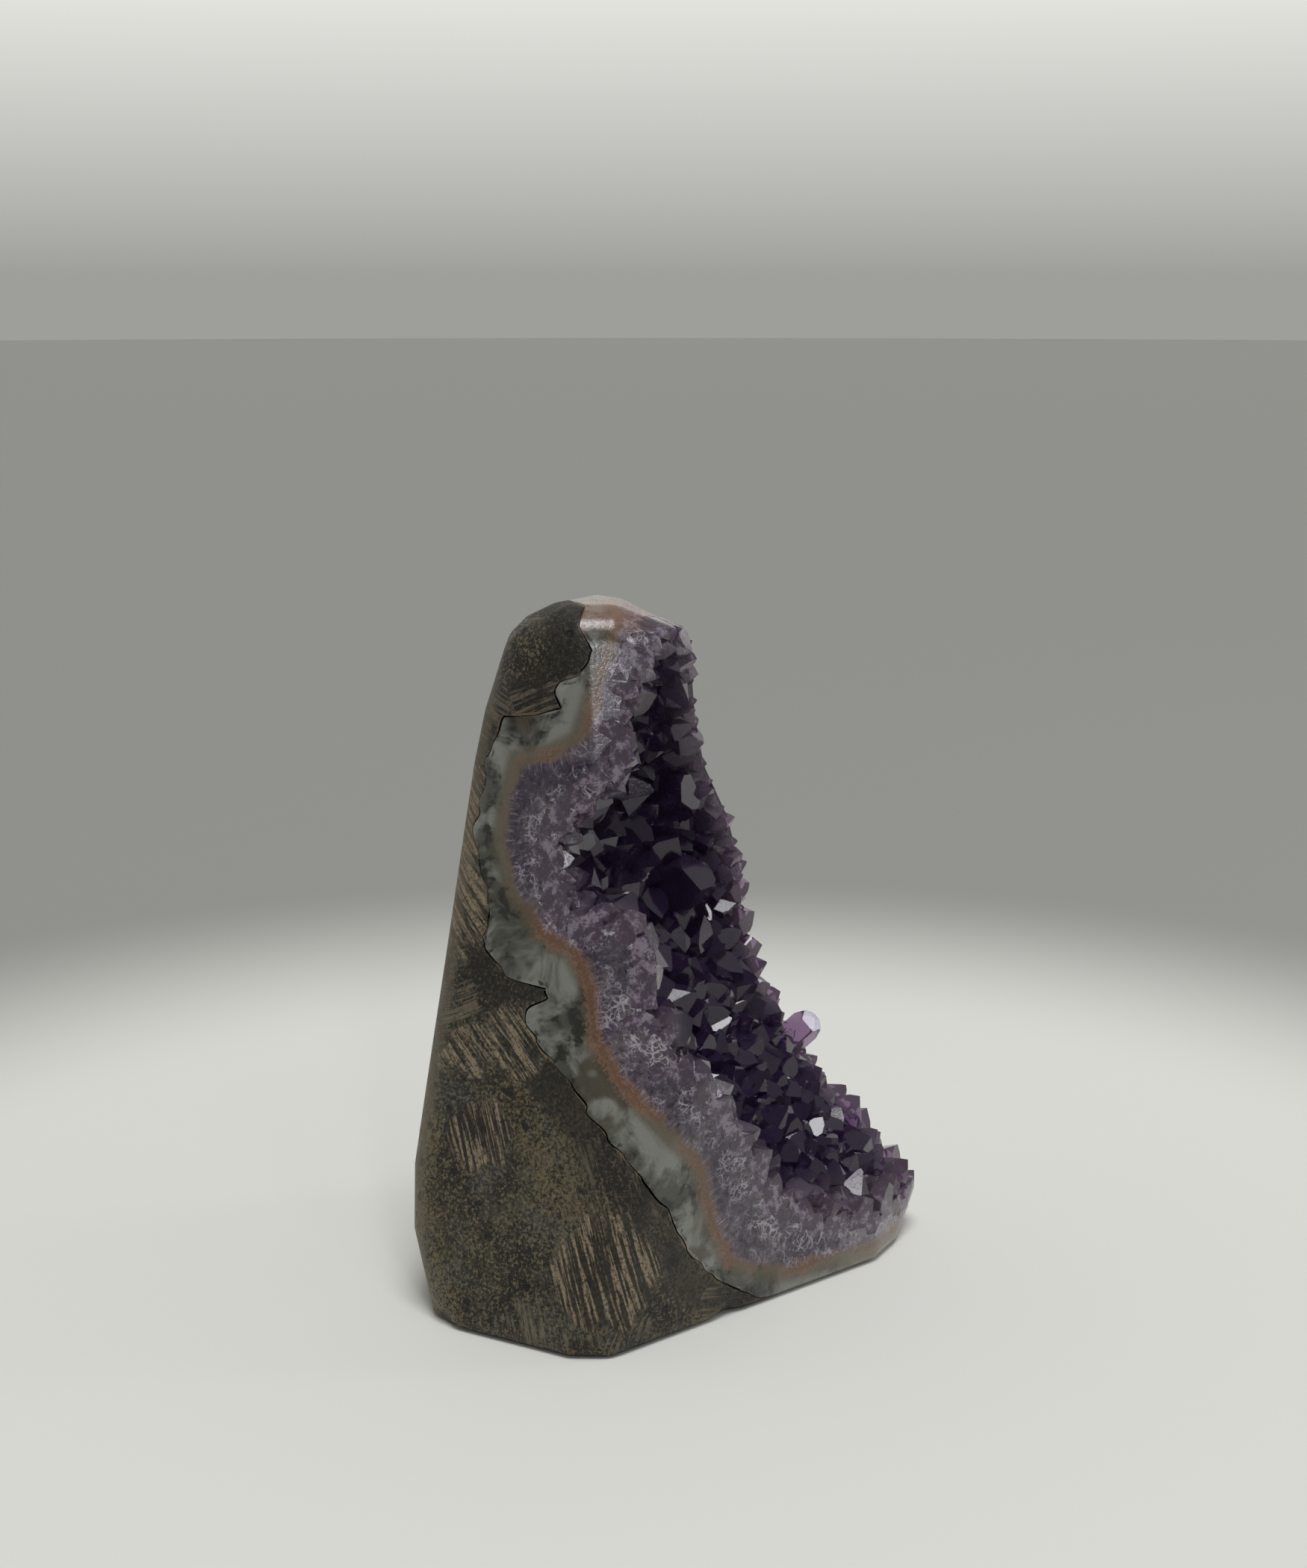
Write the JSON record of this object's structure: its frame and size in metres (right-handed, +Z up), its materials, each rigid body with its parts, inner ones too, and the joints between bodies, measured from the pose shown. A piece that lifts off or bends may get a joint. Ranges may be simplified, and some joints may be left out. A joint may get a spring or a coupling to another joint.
{
  "type": "amethyst geode",
  "caption": "Free-standing amethyst geode on a sawn base: ground host rock, banded agate rind and an open hollow lined with purple crystals.",
  "frame": {"origin": "centre of the bounding box at the level of the sawn base", "axes": "+Z up, -Y the side that the hollow opens to, +X to the right seen from the hollow's side, towards the low toe"},
  "size_m": [0.0894, 0.0566, 0.1112],
  "materials": {
    "host_rock": "ground grey-brown basalt, worn smooth",
    "agate": "polished banded agate and milky quartz",
    "amethyst": "natural clear purple crystal faces"
  },
  "bodies": {
    "root": {"basalt_matrix": "host_rock", "agate_rind": "agate", "amethyst_crust": "amethyst"}
  },
  "joints": []
}
